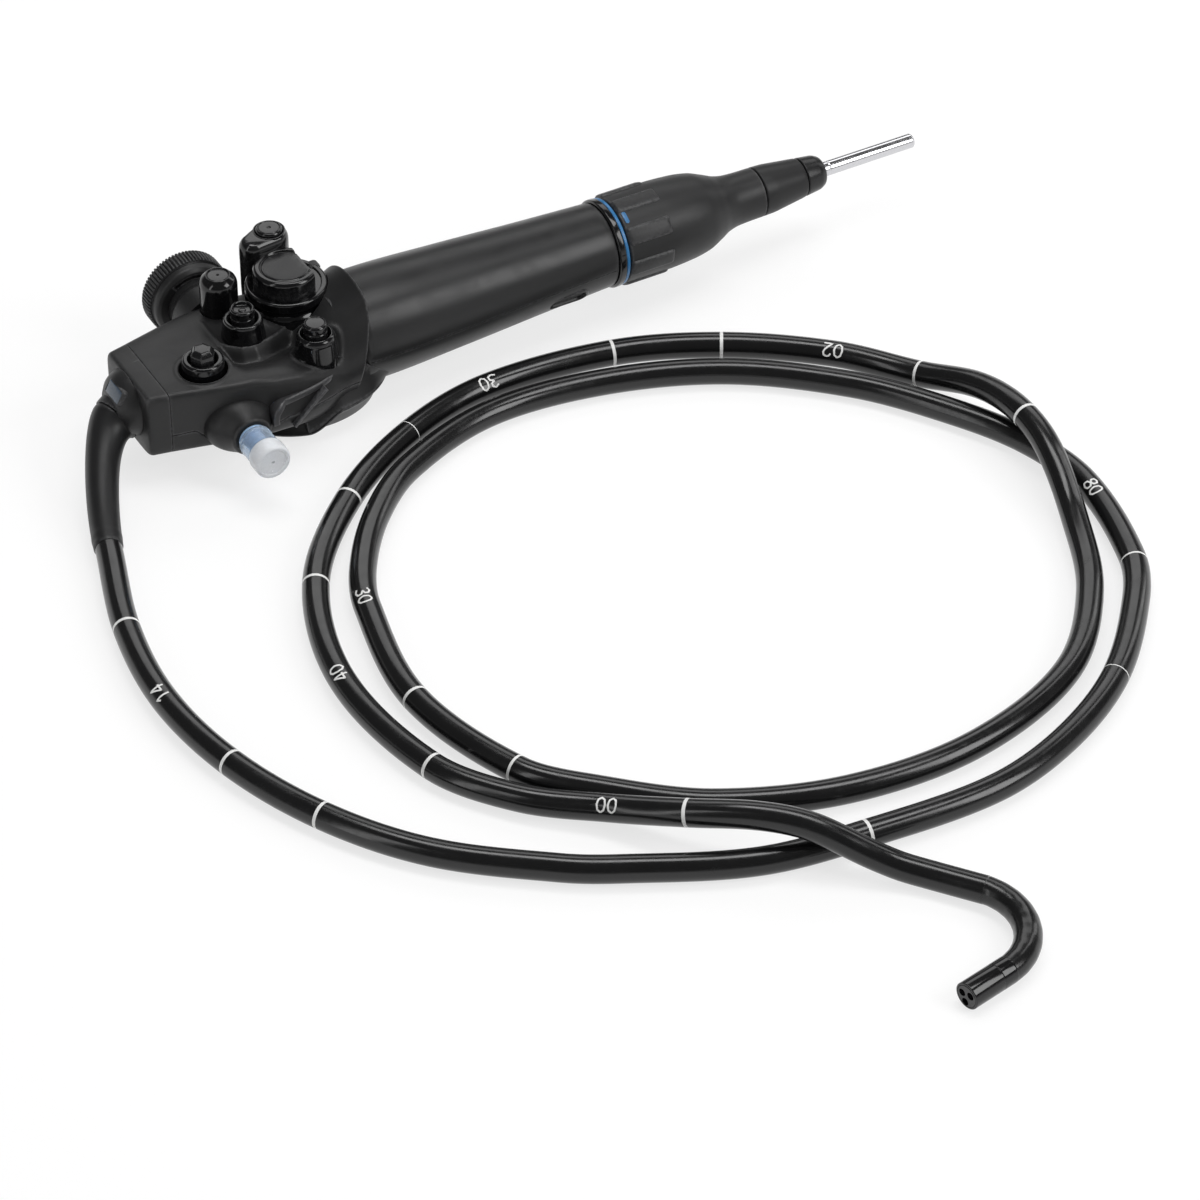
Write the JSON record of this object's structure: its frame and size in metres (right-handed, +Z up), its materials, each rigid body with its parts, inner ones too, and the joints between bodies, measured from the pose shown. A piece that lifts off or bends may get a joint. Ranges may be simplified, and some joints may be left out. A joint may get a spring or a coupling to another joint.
{
  "type": "flexible endoscope",
  "caption": "Hand-held flexible endoscope: control head with push buttons and angulation wheel, tapered grip with a light pin, long looped insertion tube with a bending tip.",
  "frame": {"origin": "bottom centre of the handle's bounding box, on the table the part lies on; the free tube and what is on it are left out", "axes": "+X along the handle from the control head to the light pin, +Z up from the table, -Y from the head towards the channel port and the looped tube"},
  "size_m": [0.3857, 0.4429, 0.0574],
  "materials": {
    "shell": "fine matte black",
    "gloss": "glossy black",
    "tube": "smooth semi-gloss black sheath",
    "rubber": "matte black",
    "steel": "polished",
    "inner": "machined",
    "blue": "satin blue",
    "clear": "translucent, frosted",
    "window": "smoked blue-grey",
    "glass": "polished lens",
    "board": "circuit board"
  },
  "bodies": {
    "handle": {"back_clip": "shell", "bend_base": "tube", "brake_disc": "shell", "channel_pipe": "steel", "chassis_plate": "inner", "control_board": "board", "core_tube": "inner", "end_sleeve": "rubber", "front_sleeve": "gloss", "gland_body": "shell", "gland_window": "window", "grip_shell": "shell", "grip_vent": "gloss", "head_end_cap": "shell", "hex_sleeve": "gloss", "hub_housing": "shell", "index_ring": "blue", "insertion_tube": "tube", "light_pin": "steel", "lower_shell": "shell", "middle_sleeve": "rubber", "pin_window": "glass", "port_boss": "shell", "port_nozzle": "steel", "rim_ring": "gloss", "ring_sleeve": "gloss", "side_bracket": "shell", "suction_elbow": "gloss", "support_foot": "shell", "tube_boot": "rubber", "upper_shell": "shell", "valve_base": "gloss"},
    "hex_push": {"hex_button": "gloss"},
    "ring_push": {"ring_button": "gloss"},
    "front_push": {"front_button": "gloss"},
    "dome_push": {"dome_button": "gloss"},
    "suction_push": {"suction_button": "gloss"},
    "wheel": {"angulation_wheel": "rubber", "wheel_shaft": "steel", "cable_drum": "inner", "wheel_screw": "steel"},
    "collar": {"lock_collar": "shell", "collar_mark": "blue"},
    "cap": {"port_cap": "clear"},
    "link_01": {"bend_link_01": "inner"},
    "link_02": {"bend_link_02": "inner"},
    "link_03": {"bend_link_03": "inner"},
    "link_04": {"bend_link_04": "inner"},
    "link_05": {"bend_link_05": "inner"},
    "link_06": {"bend_link_06": "inner"},
    "link_07": {"bend_link_07": "inner"},
    "link_08": {"bend_link_08": "inner"},
    "tip": {"distal_tip": "gloss", "objective_lens": "glass", "light_lens": "glass"}
  },
  "joints": [
    {"name": "hex_press", "type": "slide", "parent": "handle", "child": "hex_push", "axis": [0, 0, -1], "range_m": [0, 0.003], "stiffness_N_per_m": 400, "springref_m": -0.0005},
    {"name": "ring_press", "type": "slide", "parent": "handle", "child": "ring_push", "axis": [0, 0, -1], "range_m": [0, 0.003], "stiffness_N_per_m": 400, "springref_m": -0.0005},
    {"name": "front_press", "type": "slide", "parent": "handle", "child": "front_push", "axis": [0, 0, -1], "range_m": [0, 0.0025], "stiffness_N_per_m": 400, "springref_m": -0.0005},
    {"name": "dome_press", "type": "slide", "parent": "handle", "child": "dome_push", "axis": [0, 0, -1], "range_m": [0, 0.0025], "stiffness_N_per_m": 400, "springref_m": -0.0005},
    {"name": "suction_press", "type": "slide", "parent": "handle", "child": "suction_push", "axis": [0, 0, -1], "range_m": [0, 0.0013], "stiffness_N_per_m": 400, "springref_m": -0.0005},
    {"name": "wheel_turn", "type": "hinge", "parent": "handle", "child": "wheel", "pos_m": [-0.1014, 0.0459, 0.028], "axis": [0, 1, 0], "range_deg": [-100, 49]},
    {"name": "bend_01", "type": "hinge", "parent": "handle", "child": "link_01", "pos_m": [-0.00342, -0.35019, 0.00495], "axis": [0, 0, 1], "range_deg": [-11.4, 22.8]},
    {"name": "bend_02", "type": "hinge", "parent": "link_01", "child": "link_02", "pos_m": [-0.00163, -0.35486, 0.00495], "axis": [0, 0, 1], "range_deg": [-11.4, 22.8]},
    {"name": "bend_03", "type": "hinge", "parent": "link_02", "child": "link_03", "pos_m": [-0.00089, -0.3598, 0.00495], "axis": [0, 0, 1], "range_deg": [-11.4, 22.8]},
    {"name": "bend_04", "type": "hinge", "parent": "link_03", "child": "link_04", "pos_m": [-0.00124, -0.36479, 0.00495], "axis": [0, 0, 1], "range_deg": [-11.4, 22.8]},
    {"name": "bend_05", "type": "hinge", "parent": "link_04", "child": "link_05", "pos_m": [-0.00265, -0.36959, 0.00495], "axis": [0, 0, 1], "range_deg": [-11.4, 22.8]},
    {"name": "bend_06", "type": "hinge", "parent": "link_05", "child": "link_06", "pos_m": [-0.00505, -0.37397, 0.00495], "axis": [0, 0, 1], "range_deg": [-11.4, 22.8]},
    {"name": "bend_07", "type": "hinge", "parent": "link_06", "child": "link_07", "pos_m": [-0.00835, -0.37773, 0.00495], "axis": [0, 0, 1], "range_deg": [-11.4, 22.8]},
    {"name": "bend_08", "type": "hinge", "parent": "link_07", "child": "link_08", "pos_m": [-0.01238, -0.38069, 0.00495], "axis": [0, 0, 1], "range_deg": [-11.4, 22.8]},
    {"name": "bend_09", "type": "hinge", "parent": "link_08", "child": "tip", "pos_m": [-0.01695, -0.38271, 0.00495], "axis": [0, 0, 1], "range_deg": [-11.4, 22.8]},
    {"name": "collar_turn", "type": "hinge", "parent": "handle", "child": "collar", "pos_m": [0.0681, -0.0005, 0.026], "axis": [1, 0, 0], "range_deg": [0, 60]},
    {"name": "cap_pull", "type": "slide", "parent": "handle", "child": "cap", "axis": [0, -1, 0], "range_m": [0, 0.016]}
  ],
  "couplings": [
    {"joint": "bend_01", "follows": "wheel_turn", "ratio": -0.222},
    {"joint": "bend_02", "follows": "wheel_turn", "ratio": -0.222},
    {"joint": "bend_03", "follows": "wheel_turn", "ratio": -0.222},
    {"joint": "bend_04", "follows": "wheel_turn", "ratio": -0.222},
    {"joint": "bend_05", "follows": "wheel_turn", "ratio": -0.222},
    {"joint": "bend_06", "follows": "wheel_turn", "ratio": -0.222},
    {"joint": "bend_07", "follows": "wheel_turn", "ratio": -0.222},
    {"joint": "bend_08", "follows": "wheel_turn", "ratio": -0.222},
    {"joint": "bend_09", "follows": "wheel_turn", "ratio": -0.222}
  ]
}
